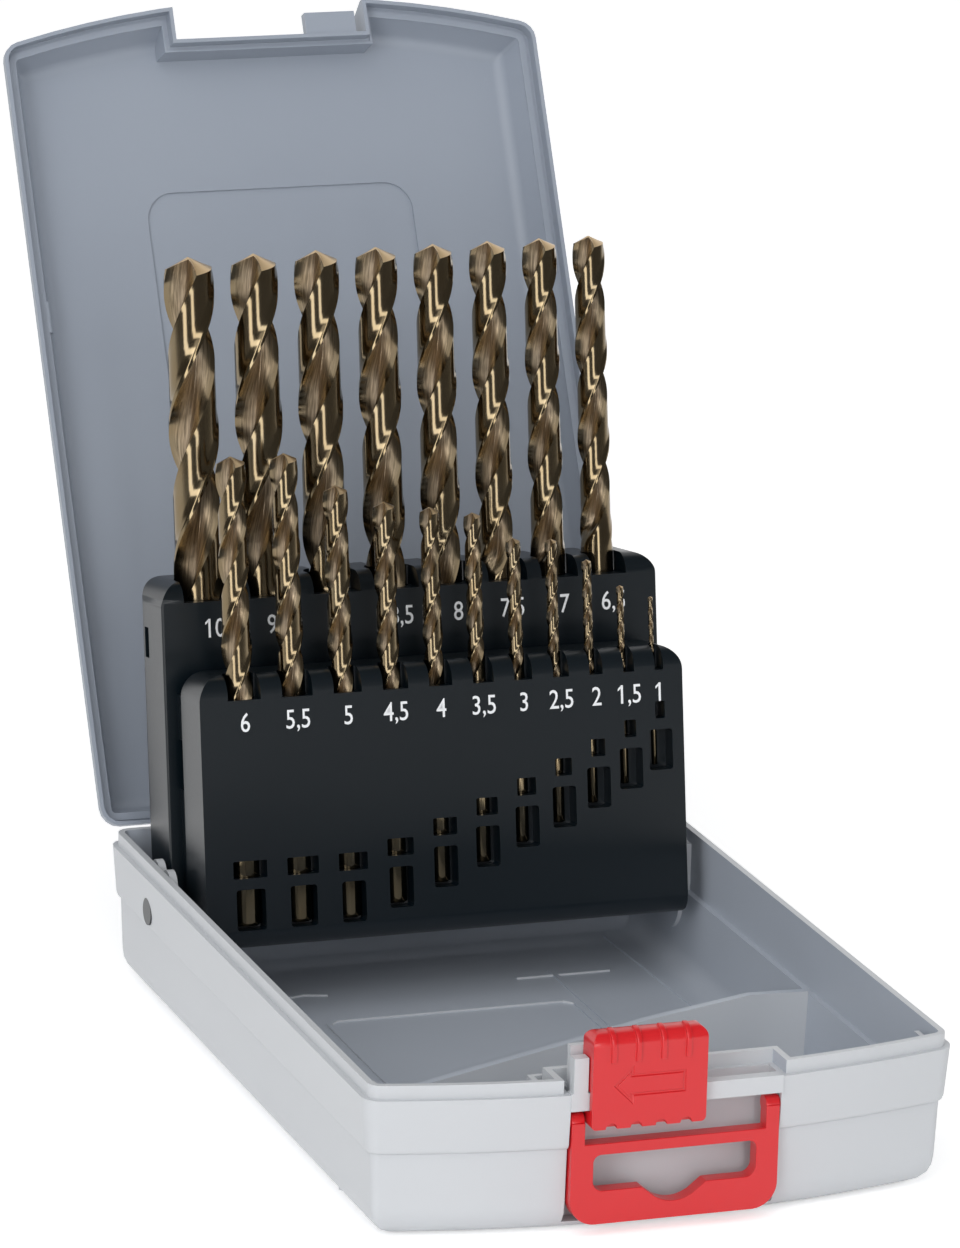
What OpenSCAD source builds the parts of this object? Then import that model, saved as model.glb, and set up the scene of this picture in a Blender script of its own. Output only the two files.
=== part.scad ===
// Hinged case for twist drills: tray, lid, folding two-tier rack, sliding latch and hanger.
// Origin at the centre of the underside, front towards -Y. Drawn open, with the rack standing up.

/* [Case] */
// Width of the case over the rim
case_w = 116; // [114:1:130]
// Depth of the case from the front corners to the rear wall
case_d = 164; // [162:1:180]
// How far the front bulges beyond its corners
front_bow = 8; // [6:0.5:9]
// Radius of the upright corners, seen from above
corner_r = 4; // [3:0.5:5]
// Height of the shoulder that the lid closes on
shoulder_z = 27.8; // [27.6:0.1:29]
// Height of the lower edge of the thicker band round the tray
band_z = 17; // [15:0.5:17]
// How far the band stands out from the wall below it
band_step = 1.7; // [1.2:0.1:2]
// Inward slope of the tray's lower wall over its height
tray_draft = 0.5; // [0.2:0.1:1]
// Wall thickness
wall_t = 2; // [1.8:0.1:2.2]
// Floor thickness
floor_t = 2; // [1.6:0.1:2]
// Radius of the tray's bottom edge
bottom_r = 6; // [4:0.5:7]
// Height of the divider's top edge
divider_z = 18.5; // [12:0.5:19]
// Thickness of the divider
divider_t = 1.6; // [1.2:0.1:2]
// Height of the ribs on the floor
rib_h = 0.4; // [0.2:0.1:0.4]

/* [Rim] */
// Width of the shoulder outside the tray's raised lip
lip_step = 1.1; // [1:0.1:1.3]
// Thickness of the raised lip
lip_t = 1.3; // [1:0.1:1.4]
// Height of the raised lip above the shoulder
lip_h = 2.6; // [2:0.1:2.8]
// Clearance between tray and lid at the rim
rim_gap = 0.3; // [0.2:0.05:0.4]

/* [Lid] */
// Depth of the lid from its rim to its outside
lid_depth = 11.5; // [11.4:0.1:14]
// Height of the upright skirt at the lid's rim
skirt_h = 1.5; // [1:0.1:2]
// Inward slope of the lid's walls in degrees
lid_draft = 22; // [10:1:24]
// Radius of the lid's outer edge
lid_edge_r = 4; // [3:0.5:5]
// Width of the lid's rim
rim_w = 3; // [2.9:0.1:3.4]
// Angle that the lid opens to
lid_open = 118; // [100:1:120]
// Depth of the recessed panel inside the lid
panel_depth = 0.5; // [0.3:0.1:0.7]
// Width of the recessed panel
panel_w = 58; // [40:1:70]
// Length of the recessed panel
panel_l = 66; // [50:1:80]

/* [Hinge] */
// Distance of the hinge axis behind the rear wall
hinge_back = 2.2; // [2:0.1:2.5]
// Radius of the hinge knuckles
knuckle_r = 2.7; // [2.4:0.1:2.8]
// Radius of the hinge pins
pin_r = 1.25; // [1:0.05:1.4]
// Distance of each hinge from the side of the case
hinge_in = 24; // [18:1:32]
// Clearance between two knuckles
knuckle_gap = 0.2; // [0.1:0.05:0.4]
// Width of the lid's knuckle
knuckle_w = 8; // [6:0.5:10]
// Width of each of the tray's knuckles
side_knuckle_w = 4.8; // [3:0.2:6]

/* [Rack] */
// Distance of the rack's pivot from the rear wall
pivot_back = 26; // [25:0.5:28]
// Height of the rack's pivot
pivot_z = 20.8; // [20.7:0.1:21]
// Radius of the rack's trunnions
trunnion_r = 2.7; // [2:0.1:2.8]
// Running clearance of a trunnion or a pin in its hole
run_gap = 0.08; // [0.04:0.01:0.1]
// Angle that the open rack leans back
rack_lean = 9.45; // [6:0.05:10]
// Width of the rear tier
rear_w = 104.6; // [103.6:0.2:105]
// Width of the front tier
front_w = 101.2; // [100:0.2:102]
// Height of the rear tier's top above the pivot
rear_top = 65; // [62:1:66]
// Height of the front tier's top above the pivot
front_top = 48; // [46:1:50]
// How far the rack reaches below the pivot
rack_foot = 6.5; // [6:0.1:6.6]
// Distance of the rack's front face from the pivot
front_face = 18; // [17.5:0.1:18]
// Thickness of the front tier
front_t = 12.5; // [12:0.1:12.6]
// Thickness of the rear tier
rear_t = 16; // [15.6:0.1:16.2]
// Distance of the front sockets' row from the front tier's face
front_row_in = 4; // [3.8:0.1:5]
// Distance of the rear sockets' row from the rear tier's face
rear_row_in = 6.9; // [6.5:0.1:7.5]
// Radius of the tiers' upper corners
tier_r = 5; // [4:0.5:7]
// Radius of the tiers' upper front edges
tier_edge_r = 4; // [2:0.5:5]

/* [Bits] */
// Web between two sockets of the front row
front_web = 5.2; // [4.8:0.1:5.2]
// Web between two sockets of the rear row
rear_web = 3.8; // [3.4:0.1:3.8]
// Sideways place of the front row's middle
front_row_x = 2.15; // [1.5:0.05:2.5]
// Radial clearance of a bit in its socket
socket_gap = 0.15; // [0.1:0.05:0.2]
// Height of the smallest bit's socket floor above the pivot
first_floor = 23.6; // [22:0.2:24]
// Step down from each front socket floor to the next
floor_step = 3.35; // [3:0.05:3.4]
// Lowest socket floor of the front row
low_floor = -2; // [-2.5:0.1:-1]
// Height above the pivot that the rear bits' tips share
rear_tips = 129; // [127:0.5:129.5]
// Point angle of the bits
point_angle = 135; // [118:1:135]
// Pitch of the flutes in bit diameters
flute_pitch = 5.6; // [4.5:0.1:8]

/* [Latch] */
// Width of the recess in the front
recess_w = 41.4; // [41.4:0.2:46]
// Width of the latch slider
slider_w = 22.4; // [20:0.2:22.6]
// Distance from the middle to the slider's outer edge, open and locked alike
slider_reach = 17.4; // [16:0.1:17.4]
// Height of the slider
slider_h = 18.4; // [18:0.1:20]
// Height of the slide rail
rail_h = 3.4; // [3:0.1:3.5]
// Thickness of the slide rail
rail_t = 2.4; // [2:0.1:2.6]
// Clearance of the slider on its rail
slide_gap = 0.3; // [0.2:0.05:0.35]
// Radius of the slider's rounded top
slider_top_r = 2.4; // [1.5:0.1:2.7]
// How far the grip ribs stand out from the slider
grip_out = 0.5; // [0.3:0.1:0.6]
// Width of each grip rib
grip_w = 1; // [0.8:0.1:1.5]
// Length of the arrow outline on the slider
arrow_l = 14; // [10:0.5:15]
// Height of the lid's locking tongue
tongue_h = 2.2; // [1.6:0.1:2.2]
// Width of the lid's locking tongue
tongue_w = 10.9; // [8:0.1:11]

/* [Hanger] */
// Clearance between the hanger's frame and the recess on each side
hanger_gap = 0.3; // [0.2:0.1:1]
// Thickness of the hanger's plate
hanger_t = 3.2; // [2.6:0.1:3.2]
// Width of the hang slot
slot_w = 32; // [28:0.5:33]
// Height of the hang slot
slot_h = 7; // [5:0.5:7]
// Height of the bar above the hang slot
hang_bar_h = 2.2; // [1.8:0.1:3]
// Diameter of the round dip under the hang slot
hook_d = 8; // [6:0.5:9]
// Depth of the dip below the hang slot
hook_h = 3.2; // [2.5:0.1:3.5]
// Width of the hanger's arms
arm_w = 2.6; // [2:0.1:2.8]

/* [Hidden] */
$fn = 48;
over = 0.1;                 // cuts run past their faces by this much
skin = 0.01;                // thickness of one slice of a lofted shape
front_sizes = [6, 5.5, 5, 4.5, 4, 3.5, 3, 2.5, 2, 1.5, 1];
rear_sizes = [10, 9.5, 9, 8.5, 8, 7.5, 7, 6.5];
// standard jobber lengths, whole and fluted, for diameters from 1 to 10 in steps of 0.5
whole_lengths = [34, 40, 49, 57, 61, 70, 75, 80, 86, 93, 93, 101, 109, 109, 117, 117, 125, 125, 133];
flute_lengths = [12, 18, 24, 30, 33, 39, 43, 47, 52, 57, 57, 63, 69, 69, 75, 75, 81, 81, 87];
function size_index(d) = round((d - 1) * 2);
function whole_length(d) = whole_lengths[size_index(d)];
function flute_length(d) = flute_lengths[size_index(d)];
function bit_name(d) = str("drill_bit_", floor(d), "_", d == floor(d) ? 0 : 5);

BITS = concat(rear_sizes, front_sizes);

// plan of the case: straight sides, bowed front, round corners, all moved in by inset
half_w = case_w / 2;
half_d = case_d / 2;
pivot_y = half_d - pivot_back;
hinge_x = half_w - hinge_in;
front_y = -half_d - front_bow;
bow_r = (half_w * half_w + front_bow * front_bow) / (2 * front_bow);
bow_y = front_y + bow_r;
bow_n = 14;
function arc_points(x, y, r, from, to, n) = [for (i = [0:n]) let (a = from + (to - from) * i / n)
    [x + r * cos(a), y + r * sin(a)]];
function plan(inset) = let (
    r = max(corner_r - inset, 0.8),
    x = half_w - inset - r,
    y_back = half_d - inset - r,
    y = bow_y - sqrt(pow(bow_r - inset - r, 2) - x * x),
    a = atan2(y - bow_y, x))
    concat(
        arc_points(x, y_back, r, 0, 90, 4),
        arc_points(-x, y_back, r, 90, 180, 4),
        arc_points(-x, y, r, 180, 180 - a, 4),
        [for (i = [1:bow_n - 1]) let (b = 180 - a + (180 + 2 * a) * i / bow_n)
            [(bow_r - inset) * cos(b), bow_y + (bow_r - inset) * sin(b)]],
        arc_points(x, y, r, 360 + a, 360, 4));

// slices are [inset, height], from the bottom up
module loft(slices) {
    top = slices[len(slices) - 1][1];
    hull() for (s = slices)
        translate([0, 0, min(s[1], top - skin)]) linear_extrude(skin) polygon(plan(s[0]));
}
function bottom_edge(inset, z, r) = [for (k = [0:5]) let (a = 90 - 18 * k)
    [inset + r * (1 - cos(a)), z + r * (1 - sin(a))]];

// the recess in the front, grown by t all round
recess_y = -half_d;
module recess(t, z0, z1) {
    translate([-recess_w / 2 - t, front_y - 2 * wall_t, z0])
        cube([recess_w + 2 * t, recess_y - front_y + 2 * wall_t + t, z1 - z0]);
}
// a rim that runs round the plan and round the recess, between two insets
module rim(outer, inner, z0, z1) {
    difference() {
        translate([0, 0, z0]) linear_extrude(z1 - z0) polygon(plan(outer));
        recess(outer, z0 - over, z1 + over);
        difference() {
            translate([0, 0, z0 - over]) linear_extrude(z1 - z0 + 2 * over) polygon(plan(inner));
            recess(inner, z0 - 2 * over, z1 + 2 * over);
        }
    }
}
// the outline of a bar t wide along a path, with mitred bends
function unit(v) = v / norm(v);
function left_of(v) = unit([-v[1], v[0]]);
function path_side(points, off) = let (last = len(points) - 1)
    [for (i = [0:last]) let (
        before = left_of(points[max(i, 1)] - points[max(i, 1) - 1]),
        after = left_of(points[min(i, last - 1) + 1] - points[min(i, last - 1)]),
        mitre = unit(before + after))
        points[i] + mitre * off / (mitre * before)];
function path_outline(points, t) = let (right = path_side(points, -t / 2))
    concat(path_side(points, t / 2), [for (i = [len(right) - 1:-1:0]) right[i]]);
// a square with round corners of its own radius at the bottom and at the top
module round_square(w, h, r_low, r_high) {
    translate([-w / 2, r_low]) square([w, h - r_low - r_high]);
    translate([-w / 2 + r_low, 0]) square([w - 2 * r_low, h - r_high]);
    translate([-w / 2 + r_high, r_low]) square([w - 2 * r_high, h - r_low]);
    for (s = [-1, 1]) {
        translate([s * (w / 2 - r_low), r_low]) circle(r_low);
        translate([s * (w / 2 - r_high), h - r_high]) circle(r_high);
    }
}
// shapes drawn in X and Z, made t thick, with their back at y
module facing(y, t) {
    translate([0, y, 0]) rotate([90, 0, 0]) linear_extrude(t) children();
}
// shapes drawn in Y and Z, from x on, w wide
module across(x, w) {
    translate([x, 0, 0]) rotate([90, 0, 90]) linear_extrude(w) children();
}

// heights and places that several pieces share
lip_in = lip_step + lip_t;
tray_in = band_step + tray_draft + wall_t;
ledge_z = band_z + 1;
lid_rim_z = shoulder_z + rim_gap;
lid_top_z = lid_rim_z + lid_depth;
hinge_y = half_d + hinge_back;
rail_y = front_y + 0.8;
rail_z = shoulder_z + 0.3 - rail_h;
slider_wall = 1.5;
slider_front = rail_y - slide_gap - slider_wall;
slider_back = rail_y + rail_t + slide_gap + slider_wall - 0.3;
slider_t = slider_back - slider_front;
slider_z = rail_z - 3.4;
slider_x = -slider_reach;
guide_y = slider_back + 0.4;
guide_t = 1.5;
guide_x = 6;
guide_h = 14.7;
stop_h = 10.2;
tongue_x = 7.8;
hang_y = rail_y + 2.3;
hang_z = rail_z - 2.5;
hang_pin_r = 1.3;
hang_eye_r = 1.7;

module tray_walls() {
    difference() {
        union() {
            loft(concat(bottom_edge(band_step + tray_draft, 0, bottom_r), [[band_step, band_z + 1]]));
            loft([[band_step - 0.2, band_z], [1.1, band_z + 0.3], [0.8, band_z + 1], [0, shoulder_z]]);
        }
        recess(0, floor_t, shoulder_z + over);
        difference() {
            union() {
                loft(concat(bottom_edge(tray_in, floor_t, bottom_r - wall_t),
                    [[tray_in - tray_draft, ledge_z + over]]));
                translate([0, 0, ledge_z]) linear_extrude(shoulder_z) polygon(plan(lip_in));
            }
            recess(wall_t, 0, shoulder_z + 1);
        }
    }
    rim(lip_step, lip_in, shoulder_z - 1, shoulder_z + lip_h);
}

// a second low ridge stands behind the lip along the front only
module front_ridge() {
    ridge_in = lip_in + 1.2;
    intersection() {
        rim(ridge_in, ridge_in + 1, band_z - 3, shoulder_z + 0.6);
        translate([-half_w, front_y, 0]) cube([case_w, front_bow + 9, shoulder_z + lip_h]);
    }
}

// each boss is split above its hole, so that the rack's trunnion snaps in from above
boss_w = 13;
boss_in = tray_in + 0.6;
slit_w = 1.6;
boss_z = pivot_z - boss_w / 2 + 0.7;
dome_r = (boss_w - slit_w) / 4;
dome_t = 1.5;
module pivot_bosses() {
    side = half_w - boss_in;
    depth = boss_in - lip_in + 0.3;
    for (s = [-1, 1]) translate([0, pivot_y, 0]) {
        across(s > 0 ? side : -side - depth, depth) difference() {
            union() {
                translate([0, boss_z]) circle(boss_w / 2);
                translate([-boss_w / 2, boss_z]) square([boss_w, shoulder_z - boss_z]);
            }
            translate([-slit_w / 2, pivot_z]) square([slit_w, shoulder_z]);
        }
        // a dome tops each half, inside the lid's rim
        for (half = [-1, 1])
            across(s > 0 ? side : -side - dome_t, dome_t)
                translate([half * (slit_w / 2 + dome_r), shoulder_z - 0.4]) circle(dome_r);
    }
}

// the tray's knuckles stand on gussets; the lid's knuckle turns between them
side_knuckle_x = knuckle_w / 2 + knuckle_gap + side_knuckle_w / 2;
module tray_knuckles() {
    for (s = [-1, 1], side = [-1, 1])
        translate([s * hinge_x + side * side_knuckle_x, 0, 0])
            across(-side_knuckle_w / 2, side_knuckle_w) {
                translate([hinge_y, shoulder_z]) circle(knuckle_r);
                polygon([[half_d - 1, band_z + 2], [half_d, band_z + 2],
                    [hinge_y + knuckle_r, shoulder_z], [half_d - 1, shoulder_z]]);
            }
}
module hinge_bores(r) {
    for (s = [-1, 1])
        translate([s * hinge_x - case_w / 8, hinge_y, shoulder_z]) rotate([0, 90, 0]) cylinder(h = case_w / 4, r = r);
}

// the divider runs in front of the tips of the folded front row
divider_x = half_w - tray_in + 0.5;
divider_path = [[-divider_x, -114.3], [-32.2, -104.5], [1.3, -89.5], [17.7, -81.8], [42.4, -73],
    [divider_x, -73.7]];
// low ribs and outlines on the floor; these and the divider are placed from the rack's pivot
floor_ribs = [
    [[45.7, 14.7], [47.2, -33.1]],
    [[27, -3], [27, -40]],
    [[18.8, -6], [38.8, -6]],
    [[-30.7, -6], [-26, -4.8], [-21.4, -6.3]],
    [[-27, -98], [-27, -24], [-25, -22], [23, -22], [25, -24], [25, -74]]];
module floor_features() {
    translate([0, pivot_y, floor_t - over]) {
        linear_extrude(divider_z - floor_t + over) polygon(path_outline(divider_path, divider_t));
        for (rib = floor_ribs) linear_extrude(rib_h + over) polygon(path_outline(rib, 1));
    }
}

// the slider rides on a rail across the recess, and a wall behind it guides its back
module latch_mount() {
    half_r = recess_w / 2;
    guide_l = half_r - 1 + guide_x;
    translate([-half_r - over, rail_y, rail_z]) cube([recess_w + 2 * over, rail_t, rail_h]);
    translate([-half_r + 1, guide_y, ledge_z]) cube([guide_l, guide_t, slider_z + guide_h - ledge_z]);
    translate([-half_r + 1, guide_y + guide_t - over, ledge_z])
        cube([guide_l, recess_y - guide_y - guide_t + 2 * over, shoulder_z - rim_gap - ledge_z]);
    // a stop at the end of the rail holds the slider on
    translate([-half_r + rim_gap, rail_y, rail_z]) cube([half_r - rim_gap - 0.2 - slider_reach, rail_t, stop_h]);
}
module hanger_bores(r, reach) {
    translate([-reach, hang_y, hang_z]) rotate([0, 90, 0]) cylinder(h = 2 * reach, r = r);
}

module base_shell() {
    color("gainsboro") difference() {
        union() {
            tray_walls();
            front_ridge();
            pivot_bosses();
            tray_knuckles();
            floor_features();
            latch_mount();
        }
        translate([-case_w, pivot_y, pivot_z]) rotate([0, 90, 0]) cylinder(h = 2 * case_w, r = trunnion_r + run_gap);
        hinge_bores(pin_r);
        for (s = [-1, 1]) translate([s * hinge_x - knuckle_w / 2 - knuckle_gap, hinge_y, shoulder_z])
            rotate([0, 90, 0]) cylinder(h = knuckle_w + 2 * knuckle_gap, r = knuckle_r + rim_gap);
        difference() {
            hanger_bores(hang_pin_r + run_gap, recess_w / 2 + wall_t + over);
            hanger_bores(hang_pin_r + 2 * run_gap, recess_w / 2 - over);
        }
    }
}

// the lid is modelled closed; its walls lean in by lid_draft above the skirt
taper_z = lid_rim_z + skirt_h;
lid_side = wall_t / cos(lid_draft);
function lid_edge(extra, top, r) = let (
    z = top - r + r * sin(lid_draft),
    c = (z - taper_z) * tan(lid_draft) + extra + r * cos(lid_draft))
    [for (k = [0:5]) let (a = lid_draft + (90 - lid_draft) * k / 5) [c - r * cos(a), top - r + r * sin(a)]];
module lid_walls() {
    difference() {
        loft(concat([[0, lid_rim_z], [0, taper_z]], lid_edge(0, lid_top_z, lid_edge_r)));
        recess(0, 0, lid_top_z + over);
        difference() {
            loft(concat([[rim_w, lid_rim_z - over], [rim_w, taper_z + (rim_w - lid_side) / tan(lid_draft)]],
                lid_edge(lid_side, lid_top_z - wall_t, lid_edge_r - 1)));
            recess(wall_t, 0, lid_top_z + over);
        }
        rim(lip_step - rim_gap, rim_w + over, lid_rim_z - over, shoulder_z + lip_h + rim_gap);
        rim(lip_step - rim_gap, lip_step + 0.4, lid_rim_z, shoulder_z + lip_h + 2 * rim_gap);
    }
}

// the rounded panel in the ceiling, seen when the lid is open
panel_in = 63.2;             // from the front corners to the panel's middle
panel_y = panel_in - half_d;
panel_r = 6;
module lid_panel() {
    translate([0, panel_y - panel_l / 2, lid_top_z - wall_t - over])
        linear_extrude(panel_depth + over) round_square(panel_w, panel_l, panel_r, panel_r);
}
module lid_knuckles() {
    heel_h = knuckle_r + 1.9;
    for (s = [-1, 1]) translate([s * hinge_x, 0, 0]) {
        across(-knuckle_w / 2, knuckle_w) {
            translate([hinge_y, shoulder_z]) circle(knuckle_r);
            translate([half_d - lip_step + rim_gap, lid_rim_z])
                square([hinge_back + lip_step - rim_gap, knuckle_r - rim_gap]);
        }
        // the heel meets the tray's rear wall when the lid is open
        translate([0, hinge_y, shoulder_z]) rotate([lid_open, 0, 0])
            translate([-knuckle_w / 2, rim_gap - hinge_back, -heel_h]) cube([knuckle_w, hinge_back, heel_h]);
    }
}
module locking_tongue() {
    translate([tongue_x, slider_back - 1.3, lid_rim_z + rim_gap])
        cube([tongue_w, recess_y - slider_back + 1.3 + over, tongue_h]);
}
snap_y = -25;
module snap_tabs() {
    tab = 3.3;
    for (s = [-1, 1]) translate([s * (half_w - rim_w), snap_y - tab, lid_rim_z + 3.2])
        rotate([-90, 0, 0]) cylinder(h = 2 * tab, r = 0.7);
}
module lid_shell() {
    translate([0, hinge_y, shoulder_z]) rotate([-lid_open, 0, 0]) translate([0, -hinge_y, -shoulder_z])
        color("lightslategray") difference() {
            union() {
                lid_walls();
                lid_knuckles();
                locking_tongue();
                snap_tabs();
            }
            lid_panel();
            hinge_bores(pin_r + run_gap);
            for (s = [-1, 1], side = [-1, 1])
                translate([s * hinge_x + side * side_knuckle_x, hinge_y, shoulder_z])
                rotate([0, 90, 0]) cylinder(h = side_knuckle_w + 2 * knuckle_gap, r = knuckle_r + rim_gap, center = true);
        }
}

module hinge_pin(s) {
    pin_l = knuckle_w + 2 * side_knuckle_w + 2 * knuckle_gap;
    color("silver") translate([s * hinge_x - pin_l / 2, hinge_y, shoulder_z]) rotate([0, 90, 0])
        cylinder(h = pin_l, r = pin_r);
}

// in the rack's own frame the pivot is the origin, Z runs up the rack and -Y is its front
module in_rack() {
    translate([0, pivot_y, pivot_z]) rotate([-rack_lean, 0, 0]) children();
}
function sum(list, i) = i < 0 ? 0 : list[i] + sum(list, i - 1);
function row_x(sizes, web, middle) = let (
    steps = [for (i = [0:len(sizes) - 2]) web + (sizes[i] + sizes[i + 1]) / 2],
    run = sum(steps, len(steps) - 1))
    [for (i = [0:len(sizes) - 1]) middle - run / 2 + sum(steps, i - 1)];
front_x = row_x(front_sizes, front_web, front_row_x);
rear_x = row_x(rear_sizes, rear_web, 0);
front_row_y = front_row_in - front_face;
rear_row_y = rear_row_in;
function is_rear(d) = d > front_sizes[0];
function bit_x(d) = is_rear(d) ? rear_x[(rear_sizes[0] - d) * 2] : front_x[(front_sizes[0] - d) * 2];
function bit_y(d) = is_rear(d) ? rear_row_y : front_row_y;
// rear bits all reach one height; front floors fall by one step each
function bit_floor(d) = is_rear(d) ? rear_tips - whole_length(d)
    : max(low_floor, first_floor - floor_step * (len(front_sizes) - 1 - (front_sizes[0] - d) * 2));

module tier(w, top, y0, t, foot_r) {
    intersection() {
        facing(y0 + t, t) translate([0, -rack_foot]) round_square(w, top + rack_foot, 1, tier_r);
        across(-w / 2, w) {
            translate([y0, foot_r - rack_foot]) square([t, top + rack_foot - foot_r - tier_edge_r]);
            translate([y0 + tier_edge_r, foot_r - rack_foot]) square([t - tier_edge_r, top + rack_foot - foot_r]);
            translate([y0 + foot_r, -rack_foot]) square([t - foot_r, top + rack_foot - tier_edge_r]);
            translate([y0 + tier_edge_r, top - tier_edge_r]) circle(tier_edge_r);
            translate([y0 + foot_r, foot_r - rack_foot]) circle(foot_r);
        }
    }
}
// one socket with the notch in the face above it; the notch shows the bit's shank
notch_side = 0.4;
module socket(d, top, face_y, notch) {
    x = bit_x(d);
    y = bit_y(d);
    translate([x, y, bit_floor(d)]) cylinder(h = top - bit_floor(d) + over, r = d / 2 + socket_gap);
    translate([x - d / 2 - notch_side, face_y - over, top - notch])
        cube([d + 2 * notch_side, y - face_y + over, notch + over]);
}
// windows in the front tier show the foot of each bit
window_w = 5;
window_h = 8.2;
window_r = 0.6;
slit_h = 3.5;
slit_r = 0.3;
sill = 1;
module windows(d) {
    x = bit_x(d);
    low = bit_floor(d);
    facing(front_row_y, front_row_in + over) {
        translate([x, low - window_r]) round_square(max(window_w, d), window_h, window_r, window_r);
        translate([x, low + window_h + window_r + sill]) round_square(d + 1, slit_h, slit_r, slit_r);
    }
}
module rack_front_tier() {
    web_t = 4;
    web_top = front_top - tier_r;
    color("dimgray") in_rack() {
        difference() {
            tier(front_w, front_top, -front_face, front_t, 4);
            for (d = front_sizes) {
                socket(d, front_top, -front_face, 4.8);
                windows(d);
            }
        }
        // webs at both ends hold the tiers apart
        for (s = [-1, 1], z = [[-rack_foot + 5, 24], [34, web_top]])
            translate([s * (front_w / 2 - 1 - web_t / 2) - web_t / 2, front_t - front_face - over, z[0]])
                cube([web_t, front_face - front_t + over, z[1] - z[0]]);
    }
}
module rack_rear_tier() {
    back_r = 3.5;
    lug_t = 0.5;
    lug_r = 5.2;
    end_x = rear_w / 2 - over;
    trunnion_x = half_w - 0.4;
    color("dimgray") in_rack() difference() {
        union() {
            intersection() {
                tier(rear_w, rear_top, 0, rear_t, 1);
                translate([0, 0, -rack_foot - over]) linear_extrude(rear_top + rack_foot + 2 * over)
                    round_square(rear_w, rear_t, 0.5, back_r);
            }
            for (s = [-1, 1]) {
                across(s > 0 ? end_x : -end_x - over - lug_t, lug_t + over) circle(lug_r);
                across(s > 0 ? end_x : -trunnion_x, trunnion_x - end_x) circle(trunnion_r);
            }
        }
        for (d = rear_sizes) {
            socket(d, rear_top, 0, 4);
            // the channel is open at the back above its floor
            translate([bit_x(d) - d / 4, rear_row_y, bit_floor(d) + 3])
                cube([d / 2, rear_t - rear_row_y + over, rear_top - bit_floor(d)]);
        }
        // a shallow recess with a small hole in the left end
        translate([-rear_w / 2 - over, 9.5, 49.4]) cube([0.8 + over, 2.6, 6.1]);
        translate([-rear_w / 2, 10.8, 52.4]) rotate([0, 90, 0]) cylinder(h = 4, r = 0.8);
    }
}

// the section of the fluted part: per half turn, [angle, share of the radius]; lip, flute, heel and land
half_section = [[12, 1], [22, 0.55], [48, 0.3], [74, 0.45], [98, 0.96], [129, 0.97], [160, 0.98]];
rings_per_turn = 11;
tip_turn = -9;
section = concat(half_section, [for (p = half_section) [p[0] + 180, p[1]]]);
module fluted_part(d, z0, z1) {
    r = d / 2;
    tip = r / tan(point_angle / 2);
    run = z1 - tip - z0;
    rings = ceil(run / (flute_pitch * d) * rings_per_turn);
    n = len(section);
    // the flutes run out into the shank over the first ring
    levels = concat([[z0, 0, 0.99]], [for (i = [1:rings]) [z0 + run * i / rings, 1, 1]], [[z1, 1, 0.1]]);
    points = [for (l = levels, p = section) let (
        a = p[0] + tip_turn + 360 * (l[0] - z1) / (flute_pitch * d),
        q = r * l[2] * (1 + (p[1] - 1) * l[1]))
        [q * cos(a), q * sin(a), l[0]]];
    last = len(levels) - 1;
    sides = [for (i = [0:last - 1], k = [0:n - 1]) let (j = (k + 1) % n, a = i * n, b = a + n)
        each [[a + k, b + k, b + j], [a + k, b + j, a + j]]];
    polyhedron(points, concat([[for (k = [0:n - 1]) k]], sides, [[for (k = [n - 1:-1:0]) last * n + k]]));
}
module drill_bit(d) {
    seat = 0.05;
    z0 = bit_floor(d) + seat;
    z1 = bit_floor(d) + whole_length(d);
    flute_z = z1 - flute_length(d);
    color("darkgoldenrod") in_rack() translate([bit_x(d), bit_y(d), 0]) {
        translate([0, 0, z0]) cylinder(h = flute_z - z0, r = d / 2);
        fluted_part(d, flute_z - 0.2, z1);
    }
}

// the slider seen from the side, grown by out in front and at the top
module slider_side(out) {
    r = slider_top_r + out;
    y = slider_front - out;
    h = slider_h + out;
    translate([y, slider_z]) square([slider_t + out, h - r]);
    translate([y + r, slider_z]) square([slider_t + out - 2 * r, h]);
    for (round_y = [y + r, slider_back - r]) translate([round_y, slider_z + h - r]) circle(r);
}
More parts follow.
